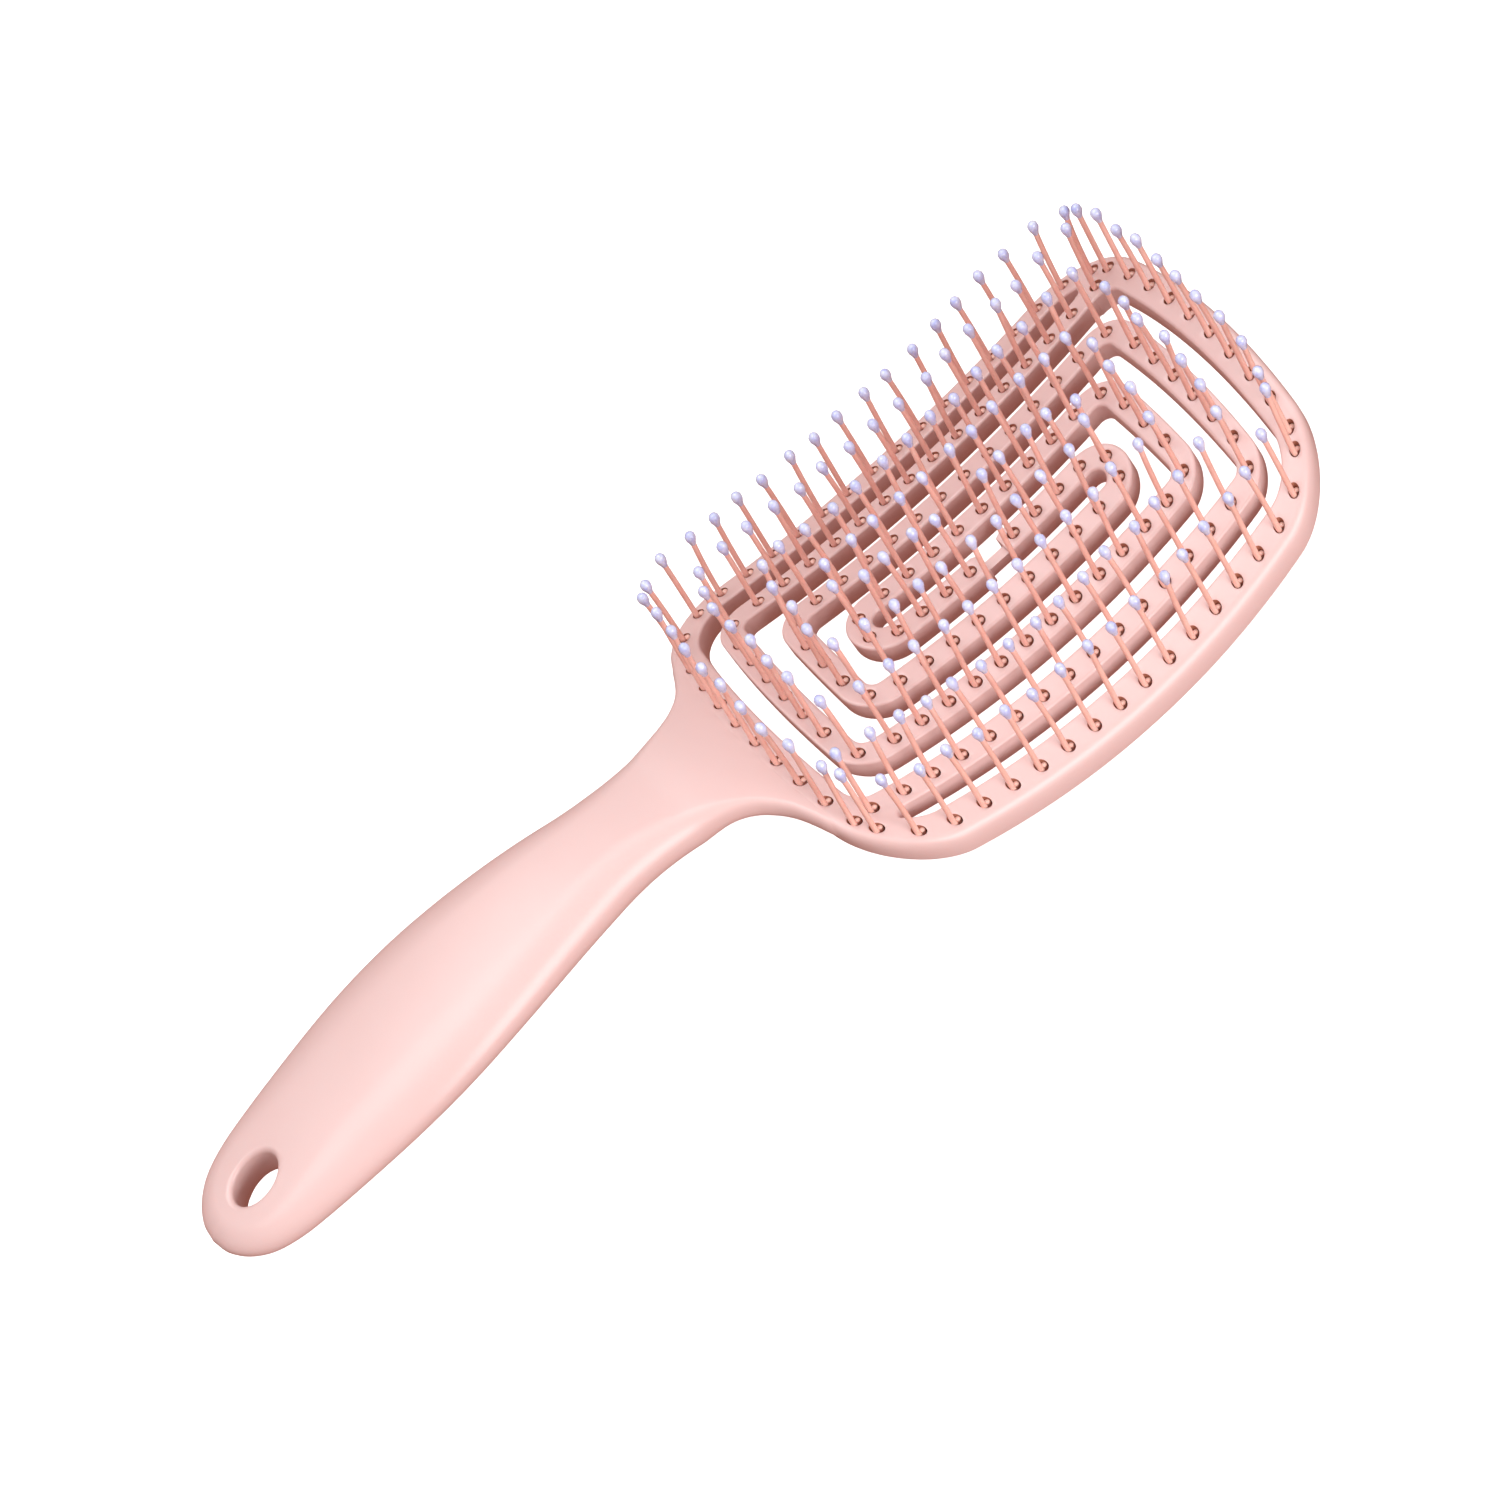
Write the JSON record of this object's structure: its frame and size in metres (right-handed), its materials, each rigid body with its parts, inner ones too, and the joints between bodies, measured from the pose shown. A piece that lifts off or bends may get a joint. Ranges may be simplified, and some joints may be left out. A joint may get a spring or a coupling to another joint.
{
  "type": "vented paddle brush",
  "caption": "Curved open-frame paddle brush: one moulded handle and rim, sprung double-spiral ribs, ball-tipped pins in drilled holes.",
  "frame": {"origin": "centre of the overall bounding box in plan, at its lowest point", "axes": "+X from the handle to the tip of the head, +Y across the head, +Z the way the pins stand"},
  "size_m": [0.2352, 0.0818, 0.0413],
  "materials": {
    "shell": "satin pale pink moulded plastic",
    "pins": "salmon nylon with translucent lilac ball tips"
  },
  "bodies": {
    "frame": {"handle_and_rim": "shell", "pins_rim_tip": "pins", "pins_rim_far": "pins", "pins_rim_handle": "pins", "pins_rim_near": "pins", "pin_root_a": "pins", "pin_root_b": "pins"},
    "coil_1": {"rib_a1": "shell", "pins_a1_row": "pins", "pins_a1_column": "pins", "rib_b1": "shell", "pins_b1_row": "pins", "pins_b1_column": "pins"},
    "coil_2": {"rib_a2": "shell", "pins_a2_row": "pins", "pins_a2_column": "pins", "rib_b2": "shell", "pins_b2_row": "pins", "pins_b2_column": "pins"},
    "core": {"rib_a3": "shell", "pins_a3_row": "pins", "pins_core_a": "pins", "rib_b3": "shell", "pins_b3_row": "pins", "pins_core_b": "pins", "core": "shell"}
  },
  "joints": [
    {"name": "coil_1_flex", "type": "slide", "parent": "frame", "child": "coil_1", "axis": [0, 0, 1], "range_m": [-0.003, 0.001], "stiffness_N_per_m": 900},
    {"name": "coil_2_flex", "type": "slide", "parent": "coil_1", "child": "coil_2", "axis": [0, 0, 1], "range_m": [-0.003, 0.001], "stiffness_N_per_m": 900},
    {"name": "core_flex", "type": "slide", "parent": "coil_2", "child": "core", "axis": [0, 0, 1], "range_m": [-0.003, 0.001], "stiffness_N_per_m": 900}
  ]
}
